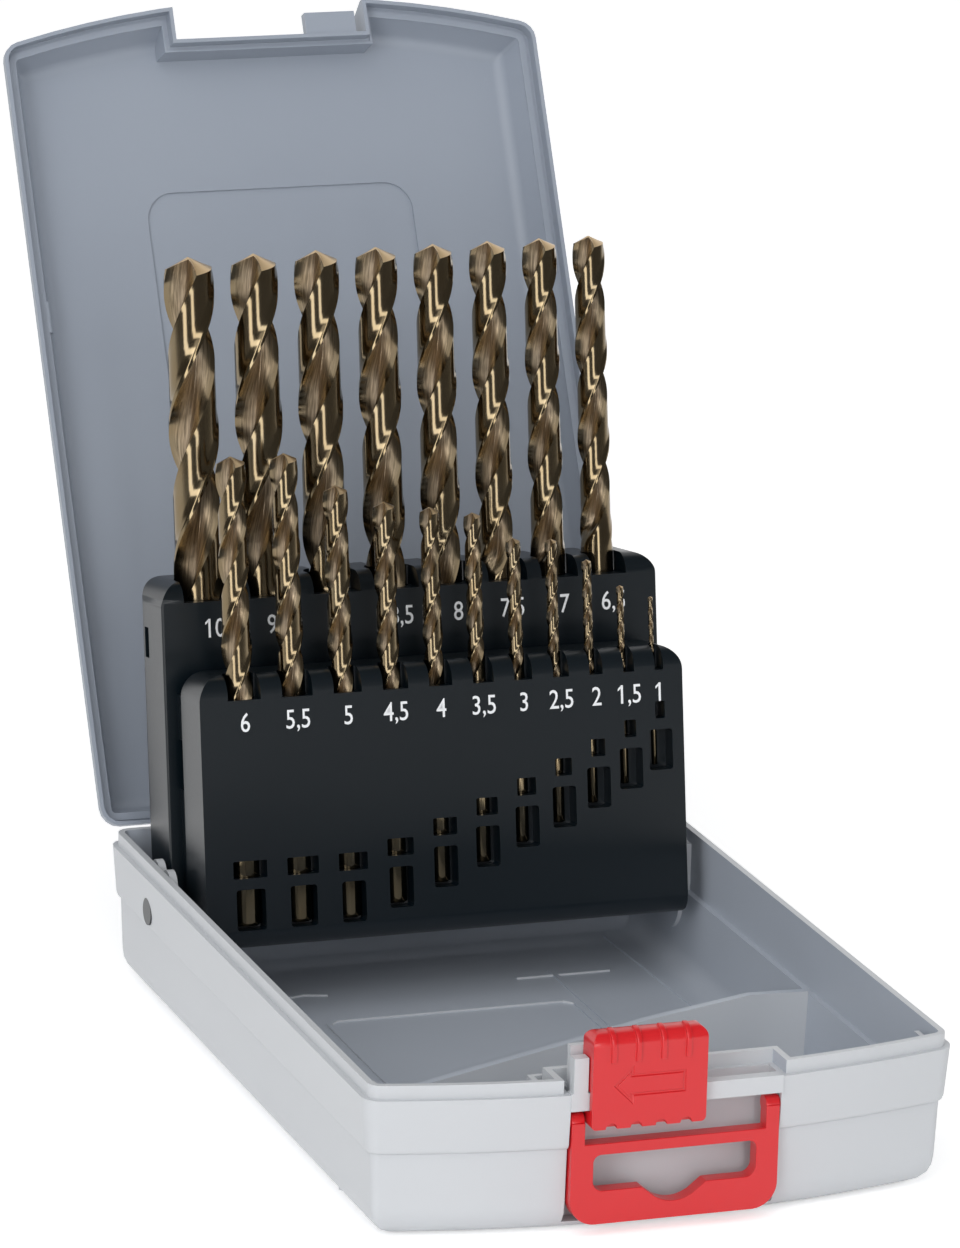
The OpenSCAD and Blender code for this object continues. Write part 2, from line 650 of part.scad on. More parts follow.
// a plain arrow outline, moved in by t
function arrow(t) = let (head = arrow_l * 0.27, x = head - t, y = head * 0.55 - t, barb = head - (1 + sqrt(2)) * t)
    [[sqrt(2) * t, 0], [x, barb], [x, y], [arrow_l - t, y], [arrow_l - t, -y], [x, -y], [x, -barb]];
module latch_slider() {
    grips = 4;
    grip_l = 5.5;
    grip_step = slider_w / (grips + 0.6);
    first_grip = 0.8;
    groove = 0.25;
    groove_w = 0.5;
    arrow_z = slider_z + slider_h * 0.45;
    scallop_r = 1.1;
    color("crimson") difference() {
        union() {
            intersection() {
                across(slider_x, slider_w) slider_side(0);
                facing(slider_back, slider_t) translate([slider_x + slider_w / 2, slider_z])
                    round_square(slider_w, slider_h, 1, 2);
            }
            // ribs over the top to push the slider with
            for (i = [0:grips - 1]) across(slider_x + (i + first_grip) * grip_step - grip_w / 2, grip_w) intersection() {
                slider_side(grip_out);
                translate([slider_front - grip_out, slider_z + slider_h - grip_l])
                    square([slider_t / 2 + grip_out, grip_l + grip_out]);
            }
        }
        across(slider_x - over, slider_w + 2 * over) {
            translate([rail_y - slide_gap, rail_z - slide_gap])
                square([rail_t + 2 * slide_gap, rail_h + 2 * slide_gap]);
            translate([rail_y + rail_t / 2, rail_z + rail_h + slide_gap - over])
                square([slider_back - rail_y, tongue_h + 2 * slide_gap]);
        }
        facing(slider_front + groove, groove + over)
            translate([slider_x + (slider_w - arrow_l) / 2, arrow_z]) difference() {
                polygon(arrow(0));
                polygon(arrow(groove_w));
            }
        // shallow scallops along the lower edge
        for (i = [0:grips - 1]) translate([slider_x + (i + first_grip) * grip_step, slider_front - over, slider_z])
            rotate([-90, 0, 0]) cylinder(h = slider_wall + over, r = scallop_r);
    }
}

module hang_handle() {
    plate_y = hang_y - 2;           // the eyes stand in the plate's thickness
    low_z = floor_t + 0.2;
    bar_z = hang_z - 4.3;           // clear of the slider when the plate swings up
    slot_z = bar_z - hang_bar_h - slot_h;
    arm_x = slider_reach + 0.4;
    corner = 5;
    soft = 1.5;
    hook_edge = hook_d / 2 - 0.4;
    frame_w = recess_w - 2 * hanger_gap;
    reach = recess_w / 2 + 1.3;
    flare = 2.4;
    color("crimson") {
        facing(plate_y + hanger_t, hanger_t) difference() {
            translate([0, low_z]) round_square(frame_w, bar_z - low_z, corner, soft);
            translate([0, slot_z]) round_square(slot_w, slot_h, 2, soft);
            // the dip for a round peg, with sloping shoulders
            translate([0, slot_z - hook_h + hook_d / 2]) circle(hook_d / 2);
            polygon([[-hook_d / 2 - flare, slot_z + over], [hook_d / 2 + flare, slot_z + over],
                [hook_edge, slot_z - flare], [-hook_edge, slot_z - flare]]);
        }
        for (s = [-1, 1]) {
            across(s > 0 ? arm_x : -arm_x - arm_w, arm_w) {
                translate([hang_y, hang_z]) circle(hang_eye_r);
                translate([plate_y, bar_z - 3]) square([hanger_t, hang_z - bar_z + 3]);
            }
            across(s > 0 ? arm_x + arm_w - over : -reach, reach - arm_x - arm_w + over)
                translate([hang_y, hang_z]) circle(hang_pin_r);
        }
    }
}

base_shell();
lid_shell();
hinge_pin(-1);  // hinge_pin_left
hinge_pin(1);  // hinge_pin_right
rack_rear_tier();
rack_front_tier();
latch_slider();
hang_handle();
for (d = BITS) drill_bit(d);
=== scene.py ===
import bmesh
import bpy
import math
import numpy as np
from mathutils import Matrix, Vector


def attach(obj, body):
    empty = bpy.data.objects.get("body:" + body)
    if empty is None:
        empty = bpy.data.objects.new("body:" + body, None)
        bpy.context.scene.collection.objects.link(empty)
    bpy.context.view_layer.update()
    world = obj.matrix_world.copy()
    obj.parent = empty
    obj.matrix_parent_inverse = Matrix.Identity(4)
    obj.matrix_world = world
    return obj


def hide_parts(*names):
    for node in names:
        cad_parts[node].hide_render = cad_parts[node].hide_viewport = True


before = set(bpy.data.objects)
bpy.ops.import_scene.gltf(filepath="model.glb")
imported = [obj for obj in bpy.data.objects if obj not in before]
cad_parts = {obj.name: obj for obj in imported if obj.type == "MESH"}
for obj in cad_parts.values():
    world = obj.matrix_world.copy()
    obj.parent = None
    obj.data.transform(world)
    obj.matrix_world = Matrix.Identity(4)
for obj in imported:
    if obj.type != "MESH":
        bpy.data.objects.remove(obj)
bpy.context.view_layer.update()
mm = 0.001
print("frame loaded:", len(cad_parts), "nodes")


def toLinear(hexColour):
    parts = [int(hexColour[i:i + 2], 16) / 255 for i in (1, 3, 5)]
    return [c / 12.92 if c <= 0.04045 else ((c + 0.055) / 1.055) ** 2.4 for c in parts] + [1.0]


# the camera stands at the photograph's viewing angle; its place is in mm, the farthest thing it sees in metres
view = {"azimuth": 19.77, "elevation": 16.941, "roll": 1.48, "place": (-467.19, -1277.38, 473.03),
        "lens": 212.6, "sensor": 36.0, "shift": (0.0, 0.130), "farthest": 10}


def addCamera():
    az, el, roll = (math.radians(view[k]) for k in ("azimuth", "elevation", "roll"))
    ahead = Vector((math.sin(az) * math.cos(el), math.cos(az) * math.cos(el), -math.sin(el)))
    right = Vector((math.cos(az), -math.sin(az), 0))
    up = right.cross(ahead)
    side = right * math.cos(roll) + up * math.sin(roll)
    top = up * math.cos(roll) - right * math.sin(roll)
    data = bpy.data.cameras.new("camera")
    data.lens, data.sensor_width = view["lens"], view["sensor"]
    data.shift_x, data.shift_y = view["shift"]
    data.clip_end = view["farthest"]
    camera = bpy.data.objects.new("camera", data)
    camera.matrix_world = Matrix.Translation(Vector(view["place"]) * mm) @ \
        Matrix((side, top, -ahead)).transposed().to_4x4()
    bpy.context.collection.objects.link(camera)
    bpy.context.scene.camera = camera


addCamera()

# a broad soft lamp from the upper left, two upright strips by the camera, and a weak fill on the right that
# metal doesn't mirror; sizes in metres, power in watts
studio = {"paper": "#ffffff", "paperRoughness": 0.9, "paperGlow": 0.42, "floorWidth": 3.0,
          "floorDrop": 0.0002, "ambient": 0.5, "front": 0.12, "backFrom": 0.35, "backBlend": 0.15,
          "aim": (0, 0, 0.08)}
lamps = {"key": {"at": (-0.8, -0.9, 1.3), "power": 9.0, "width": 1.7, "height": 1.7},
         "leftStrip": {"at": (-1.06, -1.03, 0.35), "power": 6.5, "width": 0.44, "height": 1.2},
         "rightStrip": {"at": (-0.1, -1.55, 0.35), "power": 5.2, "width": 0.36, "height": 1.2},
         "fill": {"at": (1.3, -0.5, 0.7), "power": 1.5, "width": 1.0, "height": 1.0, "mirrored": False}}


def addNode(tree, kind, settings=None, links=None):
    # settings are attributes or socket values; links are socket: output
    node = tree.nodes.new(kind)
    for key, value in (settings or {}).items():
        if isinstance(key, str) and hasattr(node, key):
            setattr(node, key, value)
        else:
            node.inputs[key].default_value = value
    for key, source in (links or {}).items():
        tree.links.new(source, node.inputs[key])
    return node


def addLamp(name, lamp):
    data = bpy.data.lights.new(name, "AREA")
    data.shape, data.size, data.size_y = "RECTANGLE", lamp["width"], lamp["height"]
    data.energy = lamp["power"]
    light = bpy.data.objects.new(name, data)
    light.visible_glossy = lamp.get("mirrored", True)
    light.location = lamp["at"]
    light.rotation_euler = (Vector(studio["aim"]) - Vector(lamp["at"])).to_track_quat("-Z", "Y").to_euler()
    bpy.context.collection.objects.link(light)


def eyeRays(tree, path):
    # 1 for what the eye sees, directly or through glass
    return addNode(tree, "ShaderNodeMath", {"operation": "MAXIMUM"},
                   {0: path.outputs["Is Camera Ray"], 1: path.outputs["Is Transmission Ray"]})


def whiteTo(tree, shader, path):
    # white to the eye; the given shader for mirrors and for all other light
    seen = eyeRays(tree, path)
    white = addNode(tree, "ShaderNodeBackground", {"Color": (1, 1, 1, 1), "Strength": 1.0})
    return addNode(tree, "ShaderNodeMixShader", None, {0: seen.outputs[0], 1: shader, 2: white.outputs[0]})


def addStudio():
    world = bpy.data.worlds.new("surroundings")
    world.use_nodes = True
    tree = world.node_tree
    tree.nodes.clear()
    path = addNode(tree, "ShaderNodeLightPath")
    # mirrors show the white backdrop behind the object and the dim room in front of it
    way = addNode(tree, "ShaderNodeTexCoord")
    parts = addNode(tree, "ShaderNodeSeparateXYZ", None, {0: way.outputs["Generated"]})
    backdrop = addNode(tree, "ShaderNodeMapRange",
                       {"From Min": studio["backFrom"] - studio["backBlend"],
                        "From Max": studio["backFrom"] + studio["backBlend"],
                        "To Min": studio["front"], "To Max": 1.0}, {"Value": parts.outputs["Y"]})
    level = addNode(tree, "ShaderNodeMix", {2: studio["ambient"]}, {0: path.outputs["Is Glossy Ray"]})
    tree.links.new(backdrop.outputs[0], level.inputs[3])
    soft = addNode(tree, "ShaderNodeBackground", {"Color": (1, 1, 1, 1)}, {"Strength": level.outputs[0]})
    shown = whiteTo(tree, soft.outputs[0], path)
    addNode(tree, "ShaderNodeOutputWorld", None, {"Surface": shown.outputs[0]})
    bpy.context.scene.world = world
    for name, lamp in lamps.items():
        addLamp(name, lamp)
    half = studio["floorWidth"] / 2
    mesh = bpy.data.meshes.new("floor")
    corners = [(-half, -half, 0), (half, -half, 0), (half, half, 0), (-half, half, 0)]
    mesh.from_pydata(corners, [], [(0, 1, 2, 3)])
    floor = bpy.data.objects.new("floor", mesh)
    floor.location.z = -studio["floorDrop"]
    bpy.context.collection.objects.link(floor)
    paper = bpy.data.materials.new("whitePaper")  # matt paper, lit to white; it keeps the object's shadow
    paper.use_nodes = True
    tree = paper.node_tree
    surface = tree.nodes["Principled BSDF"]
    surface.inputs["Base Color"].default_value = toLinear(studio["paper"])
    surface.inputs["Roughness"].default_value = studio["paperRoughness"]
    surface.inputs["Specular IOR Level"].default_value = 0.0
    path = addNode(tree, "ShaderNodeLightPath")
    seen = eyeRays(tree, path)
    mirrored = addNode(tree, "ShaderNodeMath", {"operation": "MAXIMUM"},
                       {0: seen.outputs[0], 1: path.outputs["Is Glossy Ray"]})
    glow = addNode(tree, "ShaderNodeMath", {"operation": "MULTIPLY", 1: studio["paperGlow"]},
                   {0: mirrored.outputs[0]})
    surface.inputs["Emission Color"].default_value = (1, 1, 1, 1)
    tree.links.new(glow.outputs[0], surface.inputs["Emission Strength"])
    mesh.materials.append(paper)
    bpy.context.scene.view_settings.view_transform = "Standard"


addStudio()
print("camera and light ready")


# all the moulded parts are ABS; cloud is the width in mm of the broad changes in its tone
mouldedAbs = {"ior": 1.53, "coatRoughness": 0.15, "cloud": 40, "spread": 0.02, "bump": 0.6}


def plastic(name, colour, roughness, grain, speckle, coat=0.0, sheen=0.5):
    # grain is the height of the moulded texture in mm, speckle its spacing in mm
    material = bpy.data.materials.new(name)
    material.use_nodes = True
    tree = material.node_tree
    surface = tree.nodes["Principled BSDF"]
    surface.inputs["IOR"].default_value = mouldedAbs["ior"]
    surface.inputs["Coat Weight"].default_value = coat
    surface.inputs["Coat Roughness"].default_value = mouldedAbs["coatRoughness"]
    surface.inputs["Specular IOR Level"].default_value = sheen
    place = addNode(tree, "ShaderNodeTexCoord")
    fine = addNode(tree, "ShaderNodeTexNoise", {"Scale": 1 / (speckle * mm), "Detail": 3.0},
                   {"Vector": place.outputs["Object"]})
    broad = addNode(tree, "ShaderNodeTexNoise", {"Scale": 1 / (mouldedAbs["cloud"] * mm), "Detail": 2.0},
                    {"Vector": place.outputs["Object"]})
    light, dark = toLinear(colour[0]), toLinear(colour[1])
    tone = addNode(tree, "ShaderNodeMix", {"data_type": "RGBA"}, {0: broad.outputs["Fac"]})
    tone.inputs[6].default_value, tone.inputs[7].default_value = dark, light
    tree.links.new(tone.outputs[2], surface.inputs["Base Color"])
    rough = addNode(tree, "ShaderNodeMapRange", {"To Min": roughness - mouldedAbs["spread"],
                                                 "To Max": roughness + mouldedAbs["spread"]},
                    {"Value": fine.outputs["Fac"]})
    tree.links.new(rough.outputs[0], surface.inputs["Roughness"])
    bump = addNode(tree, "ShaderNodeBump", {"Strength": mouldedAbs["bump"], "Distance": grain * mm},
                   {"Height": fine.outputs["Fac"]})
    tree.links.new(bump.outputs[0], surface.inputs["Normal"])
    return material


# moulded ABS: even light grey with a soft sheen; the lid and the tray's inner faces are the same grey plastic
# painted darker and bluer, as painted shade
greyAbs = plastic("mouldedGreyAbs", ("#c8cbcf", "#c3c6ca"), 0.42, 0.01, 0.9)
# painted shade: the lid, the same grey plastic painted darker and bluer
lidPaintedShadeAbs = plastic("lidAbsPaintedShade", ("#9ca4b0", "#949ca9"), 0.38, 0.01, 0.9)
# painted shade: the tray's inner faces, the same grey plastic painted darker and bluer
trayPaintedShadeAbs = plastic("trayAbsPaintedShade", ("#b6bdc7", "#afb6c1"), 0.4, 0.01, 0.9)
# moulded black ABS of the rack: satin, the fine texture breaks the sheen
blackAbs = plastic("mouldedBlackAbs", ("#08131a", "#061016"), 0.3, 0.01, 0.7, 0.0, 0.42)
# polished red ABS of the latch and hanger: clear, a little glossy
redAbs = plastic("mouldedRedAbs", ("#d0151d", "#cb131b"), 0.3, 0.003, 1.2, 0.2)


# pad-printed ink: flat white, matt, with a faint fleck 0.4 mm wide
ink = {"colour": "#eef0f2", "roughness": 0.55, "fleck": 0.4, "height": 0.005, "bump": 0.2}


def whitePrint():
    material = bpy.data.materials.new("printedWhiteInk")
    material.use_nodes = True
    tree = material.node_tree
    surface = tree.nodes["Principled BSDF"]
    surface.inputs["Base Color"].default_value = toLinear(ink["colour"])
    surface.inputs["Roughness"].default_value = ink["roughness"]
    place = addNode(tree, "ShaderNodeTexCoord")
    fleck = addNode(tree, "ShaderNodeTexNoise", {"Scale": 1 / (ink["fleck"] * mm)},
                    {"Vector": place.outputs["Object"]})
    bump = addNode(tree, "ShaderNodeBump", {"Strength": ink["bump"], "Distance": ink["height"] * mm},
                   {"Height": fleck.outputs["Fac"]})
    tree.links.new(bump.outputs[0], surface.inputs["Normal"])
    return material


# scratches are the grinding wheel's, with spacing and height in mm; cloud is the width of the changes in the
# temper's tint, in mm; lines is how dark and how light the scratches are painted in the flutes, the light ones
# as painted highlights
grinding = {"spacing": 0.4, "height": 0.012, "bump": 0.3, "stretch": 12, "cloud": 6, "temper": "#f4e6d2",
            "lines": (0.65, 1.7), "linesFrom": (0.35, 0.7), "fluteFrom": (0.15, 0.4), "toneFrom": (0.2, 1.1),
            "dullAt": 0.8}


def groundSteel(name, land, flute, smooth, rough):
    # high-speed steel, ground and straw tempered: dark bronze lands that mirror, greyer and duller flutes
    material = bpy.data.materials.new(name)
    material.use_nodes = True
    tree = material.node_tree
    surface = tree.nodes["Principled BSDF"]
    surface.inputs["Metallic"].default_value = 1.0
    depth = addNode(tree, "ShaderNodeAttribute", {"attribute_name": "depth"})
    lay = addNode(tree, "ShaderNodeAttribute", {"attribute_name": "lay"})
    place = addNode(tree, "ShaderNodeTexCoord")
    cloud = addNode(tree, "ShaderNodeTexNoise", {"Scale": 1 / (grinding["cloud"] * mm), "Detail": 3.0},
                    {"Vector": place.outputs["Object"]})
    # the wheel's scratches run along the flutes, drawn coarser than real ones so that they show
    streak = addNode(tree, "ShaderNodeTexNoise", {"Scale": 1 / (grinding["spacing"] * mm), "Detail": 3.0},
                     {"Vector": lay.outputs["Vector"]})
    shade = addNode(tree, "ShaderNodeMath", {"operation": "MULTIPLY_ADD", 1: 0.5},
                    {0: streak.outputs["Fac"], 2: depth.outputs["Fac"]})
    ramp = addNode(tree, "ShaderNodeMapRange",
                   {"From Min": grinding["toneFrom"][0], "From Max": grinding["toneFrom"][1]},
                   {"Value": shade.outputs[0]})
    tone = addNode(tree, "ShaderNodeMix", {"data_type": "RGBA"}, {0: ramp.outputs[0]})
    tone.inputs[6].default_value, tone.inputs[7].default_value = toLinear(land), toLinear(flute)
    # in the flutes the scratches are painted as darker and lighter lines; the lighter lines are painted
    # highlights along the flutes
    lines = addNode(tree, "ShaderNodeMapRange",
                    {"From Min": grinding["linesFrom"][0], "From Max": grinding["linesFrom"][1],
                     "To Min": grinding["lines"][0], "To Max": grinding["lines"][1]},
                    {"Value": streak.outputs["Fac"]})
    inFlute = addNode(tree, "ShaderNodeMapRange",
                      {"From Min": grinding["fluteFrom"][0], "From Max": grinding["fluteFrom"][1]},
                      {"Value": depth.outputs["Fac"]})
    paintedStreakTone = addNode(tree, "ShaderNodeVectorMath", {"operation": "SCALE"},
                    {0: tone.outputs[2], "Scale": lines.outputs[0]})
    tone = addNode(tree, "ShaderNodeMix", {"data_type": "RGBA"},
                   {0: inFlute.outputs[0], 6: tone.outputs[2], 7: paintedStreakTone.outputs[0]})
    warm = addNode(tree, "ShaderNodeMix", {"data_type": "RGBA", "blend_type": "MULTIPLY"},
                   {0: cloud.outputs["Fac"], 6: tone.outputs[2]})
    warm.inputs[7].default_value = toLinear(grinding["temper"])
    tree.links.new(warm.outputs[2], surface.inputs["Base Color"])
    dull = addNode(tree, "ShaderNodeMapRange",
                   {"From Max": grinding["dullAt"], "To Min": smooth, "To Max": rough},
                   {"Value": depth.outputs["Fac"]})
    tree.links.new(dull.outputs[0], surface.inputs["Roughness"])
    bump = addNode(tree, "ShaderNodeBump",
                   {"Strength": grinding["bump"], "Distance": grinding["height"] * mm},
                   {"Height": streak.outputs["Fac"]})
    tree.links.new(bump.outputs[0], surface.inputs["Normal"])
    return material


inkMaterial = whitePrint()
drillSteel = groundSteel("strawTemperedSteel", "#80755f", "#857a6b", 0.12, 0.4)
flankSteel = groundSteel("groundFlankSteel", "#c9b492", "#c9b492", 0.3, 0.35)
pinSteel = groundSteel("drawnSteelWire", "#c9c9c9", "#a9a9a9", 0.3, 0.4)
print("materials ready")


# the drill's section, as shares of its radius and degrees round it; columns counts the points along the
# flute's face, its heel side, the land, the rise and the margin
drillSection = {"web": 0.2, "margin": 9.0, "rise": 21.6, "landRadius": 0.93, "fluteEnd": 98.0,
                "fluteDeep": 60.0, "heelCurve": 1.7, "lipGap": 0.4, "columns": (10, 14, 7, 8, 4)}
# along its length: pitch, run-out and chamfer in diameters, point and turn in degrees, relief in radii
drillForm = {"pitch": 5.6, "point": 135.0, "relief": 0.65, "runOut": 1.1, "tipTurn": 18.0,
             "ringsPerTurn": 90, "flankRings": (0.75, 0.5, 0.25, 0.08), "flankDepth": 0.1, "chamfer": 0.12,
             "footShare": 0.86, "shankGap": 0.01, "depthScale": 1.3, "sharp": 32}
lipAngle = math.degrees(math.asin(drillSection["web"]))
# the rack's pivot in the row frame, its lean in degrees, and its rows, tips and floors in its own frame, in mm
rack = {"pivot": (0.0, 56.0, 20.8), "lean": 9.45, "frontRow": -14.0, "rearRow": 6.9, "rearTips": 129.0,
        "frontWeb": 5.2, "rearWeb": 3.8, "frontMiddle": 2.15, "rearMiddle": 0.0, "firstFloor": 23.6,
        "floorStep": 3.35, "lowFloor": -2.0, "seat": 0.05}
# whole length and flute length of standard jobber drills, by diameter, in mm
drillLengths = {1: (34, 12), 1.5: (40, 18), 2: (49, 24), 2.5: (57, 30), 3: (61, 33), 3.5: (70, 39),
                4: (75, 43), 4.5: (80, 47), 5: (86, 52), 5.5: (93, 57), 6: (93, 57), 6.5: (101, 63),
                7: (109, 69), 7.5: (109, 69), 8: (117, 75), 8.5: (117, 75), 9: (125, 81), 9.5: (125, 81),
                10: (133, 87)}


def rowPlaces(sizes, web, middle):
    # neighbours stand their two radii and the web between them apart
    steps = [0] + [web + (a + b) / 2 for a, b in zip(sizes, sizes[1:])]
    places = np.cumsum(steps)
    return dict(zip(sizes, places - places[-1] / 2 + middle))


rearSizes = [10 - i / 2 for i in range(8)]
frontSizes = [6 - i / 2 for i in range(11)]
drillX = rowPlaces(rearSizes, rack["rearWeb"], rack["rearMiddle"])
drillX |= rowPlaces(frontSizes, rack["frontWeb"], rack["frontMiddle"])


def inRack(points):
    # turns points from the rack's own frame, where Z runs up the rack, into the row frame, in metres
    a = math.radians(-rack["lean"])
    turn = np.array([[1, 0, 0], [0, math.cos(a), -math.sin(a)], [0, math.sin(a), math.cos(a)]])
    return (points @ turn.T + np.array(rack["pivot"])) * mm


def socketFloor(d):
    if d > frontSizes[0]:
        return rack["rearTips"] - drillLengths[d][0]
    return max(rack["lowFloor"], rack["firstFloor"] - rack["floorStep"] * round((d - 1) * 2))


def sectionRadius(angle):
    # share of the radius at an angle from the cutting lip, per half turn: the lip's flute face is a straight
    # line at the web's distance from the axis, the heel side curves out again, then land and margin follow
    a = np.mod(angle - lipAngle, 180.0) + lipAngle
    deep, end = drillSection["fluteDeep"], drillSection["fluteEnd"]
    face = drillSection["web"] / np.sin(np.radians(np.clip(a, lipAngle, deep)))
    t = np.clip((a - deep) / (end - deep), 0, 1)
    low = drillSection["web"] / math.sin(math.radians(deep))
    heel = low + (drillSection["landRadius"] - low) * t ** drillSection["heelCurve"]
    # the relieved land rises to the margin on a flat, which gives the highlights their feet
    rise = drillSection["rise"]
    up = np.clip(a - (180 + lipAngle - drillSection["margin"] - rise), 0, rise)
    land = np.minimum(drillSection["landRadius"] / np.cos(np.radians(up)), 1.0)
    return np.where(a < deep, face, np.where(t < 1, heel, land))


def sectionAngles():
    # half a turn of angles, closer together at the lip, the heel and the margin's edge, then the other half
    edge = 180 + lipAngle - drillSection["margin"]
    stops = [lipAngle, drillSection["fluteDeep"], drillSection["fluteEnd"], edge - drillSection["rise"], edge]
    counts = drillSection["columns"]
    runs = [np.linspace(a, b, count, endpoint=False) for a, b, count in zip(stops, stops[1:], counts)]
    half = np.concatenate(runs + [np.linspace(edge, 180 + lipAngle - drillSection["lipGap"], counts[-1])])
    return np.concatenate([half, half + 180])


def surfaceMesh(name, points, depth, lay):
    # points is an array of rings x columns x 3; neighbouring rings are joined by quads, the ends by fans
    rings, columns = points.shape[:2]
    index = np.arange(rings * columns).reshape(rings, columns)
    a, b = index[:-1], np.roll(index[:-1], -1, axis=1)
    c, d = np.roll(index[1:], -1, axis=1), index[1:]
    faces = np.stack([a, b, c, d], axis=-1).reshape(-1, 4).tolist()
    foot, tip = rings * columns, rings * columns + 1
    faces += [[int(q), int(p), foot] for p, q in zip(index[0], np.roll(index[0], -1))]
    faces += [[int(p), int(q), tip] for p, q in zip(index[-1], np.roll(index[-1], -1))]
    ends = [points[0].mean(axis=0), points[-1].mean(axis=0)]
    mesh = bpy.data.meshes.new(name)
    mesh.from_pydata(np.vstack([points.reshape(-1, 3), ends]), [], faces)
    layer = mesh.attributes.new("depth", "FLOAT", "POINT")
    layer.data.foreach_set("value", np.concatenate([depth.ravel(), np.zeros(len(ends))]))
    layer = mesh.attributes.new("lay", "FLOAT_VECTOR", "POINT")
    layer.data.foreach_set("vector", np.concatenate([lay.ravel(), np.zeros(3 * len(ends))]))
    piece = bpy.data.objects.new(name, mesh)
    bpy.context.collection.objects.link(piece)
    return piece


def drill(d):
    # rings of the section stacked along the axis and turned with the flutes: shank, flutes, then the point
    whole, fluted = drillLengths[d]
    base = socketFloor(d) + rack["seat"]
    radius = d / 2
    length = whole - rack["seat"]
    angles = sectionAngles()
    share = sectionRadius(angles)
    slope = 1 / math.tan(math.radians(drillForm["point"] / 2))
    # the flank is highest along the lip and falls towards the heel, by the relief; the flute ends in the lip
    a = np.mod(angles - lipAngle, 180) + lipAngle
    deep, end = drillSection["fluteDeep"], drillSection["fluteEnd"]
    heel = (180 + lipAngle - end) / 180
    toHeel = np.clip((a - deep) / (end - deep), 0, 1)
    behind = np.where(a < end, heel * toHeel ** 2, (180 + lipAngle - a) / 180)
    fall = drillForm["relief"] * radius * behind
    top = length - radius * share * slope - fall * share
    start = length - fluted
    turns = fluted / (drillForm["pitch"] * d)
    rings = int(turns * drillForm["ringsPerTurn"])
    t = np.linspace(0, 1, rings)[:, None]
    z = start + (top[None] - start) * t
    runOut = np.clip((z - start) / (drillForm["runOut"] * d), 0, 1)
    runOut = runOut * runOut * (3 - 2 * runOut)
    r = radius * (1 + (share[None] - 1) * runOut)
    depth = np.clip((1 - r / radius) * drillForm["depthScale"], 0, 1)
    # the flanks: rings shrink towards the chisel edge
    k = np.array(drillForm["flankRings"])[:, None]
    zTip = length - radius * share[None] * k * slope - fall * share[None] * k
    rTip = radius * share[None] * k
    # the shank, with a small chamfer at its foot
    heights = [0.0, drillForm["chamfer"] * d, start / 2, start - drillForm["shankGap"]]
    zShank = np.array(heights)[:, None] + 0 * share[None]
    rShank = radius * np.array([drillForm["footShare"], 1.0, 1.0, 1.0])[:, None] + 0 * share[None]
    zAll = np.vstack([zShank, z, zTip])
    rAll = np.vstack([rShank, r, rTip])
    depthAll = np.vstack([0 * zShank, depth, drillForm["flankDepth"] + 0 * zTip])
    # the rings turn with the flutes, and the shank's stay as the last of them
    turn = np.radians(angles[None] + drillForm["tipTurn"]
                      + 360 * (np.maximum(zAll, start) - length) / (drillForm["pitch"] * d))
    points = np.stack([rAll * np.cos(turn), rAll * np.sin(turn), zAll], axis=-1)
    rowY = rack["rearRow"] if d > frontSizes[0] else rack["frontRow"]
    points = inRack(points + np.array([drillX[d], rowY, base]))
    node = "drill_bit_%d_%d" % (int(d), int(d * 10 % 10))
    # place on the ground surface: round the section, along the flute and into it, in metres
    around = np.radians(angles[None]) * radius * mm + 0 * zAll
    lay = np.stack([around, zAll * mm / grinding["stretch"], rAll * mm], axis=-1)
    piece = surfaceMesh(node + "_ground", points, depthAll, lay)
    piece.data.materials.append(drillSteel)
    piece.data.materials.append(flankSteel)
    # the flanks are the last rings, with the fan that closes them
    onFlank = np.zeros(len(piece.data.polygons), dtype=int)
    onFlank[(len(zAll) - 1 - len(k)) * len(angles):(len(zAll) - 1) * len(angles)] = 1
    onFlank[-len(angles):] = 1
    piece.data.polygons.foreach_set("material_index", onFlank)
    piece.data.polygons.foreach_set("use_smooth", [True] * len(piece.data.polygons))
    piece.data.set_sharp_from_angle(angle=math.radians(drillForm["sharp"]))
    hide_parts(node)
    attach(piece, node.replace("drill_bit", "bit"))


for size in rearSizes + frontSizes:
    drill(size)
print("drills ready")


# moulded pieces are the frame's own shapes with their edges rounded; merge is in metres, angles in degrees
softening = {"merge": 2e-6, "flatWithin": 1.0, "edgeFrom": 28, "segments": 2, "flatWeight": 90}


def softened(node, width, materials, body, inside=None):
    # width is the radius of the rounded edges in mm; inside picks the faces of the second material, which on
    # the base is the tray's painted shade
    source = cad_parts[node]
    mesh = source.data.copy()
    mesh.name = node + "_moulded"
    shape = bmesh.new()
    shape.from_mesh(mesh)
    bmesh.ops.remove_doubles(shape, verts=shape.verts, dist=softening["merge"])
    bmesh.ops.dissolve_limit(shape, angle_limit=math.radians(softening["flatWithin"]),
                             verts=shape.verts, edges=shape.edges)
    shape.to_mesh(mesh)
    shape.free()
    mesh.materials.clear()
    for material in materials:
        mesh.materials.append(material)
    piece = bpy.data.objects.new(mesh.name, mesh)
    bpy.context.collection.objects.link(piece)
    mesh.polygons.foreach_set("use_smooth", [True] * len(mesh.polygons))
    if inside:
        centres = np.array([polygon.center for polygon in mesh.polygons]) / mm
        normals = np.array([polygon.normal for polygon in mesh.polygons])
        mesh.polygons.foreach_set("material_index", inside(centres, normals).astype(int))
    bevel = piece.modifiers.new("roundedEdges", "BEVEL")
    bevel.width, bevel.segments = width * mm, softening["segments"]
    bevel.limit_method, bevel.angle_limit = "ANGLE", math.radians(softening["edgeFrom"])
    bevel.use_clamp_overlap = True
    flat = piece.modifiers.new("flatFaces", "WEIGHTED_NORMAL")
    flat.weight, flat.keep_sharp = softening["flatWeight"], True
    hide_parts(node)
    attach(piece, body)
    return piece
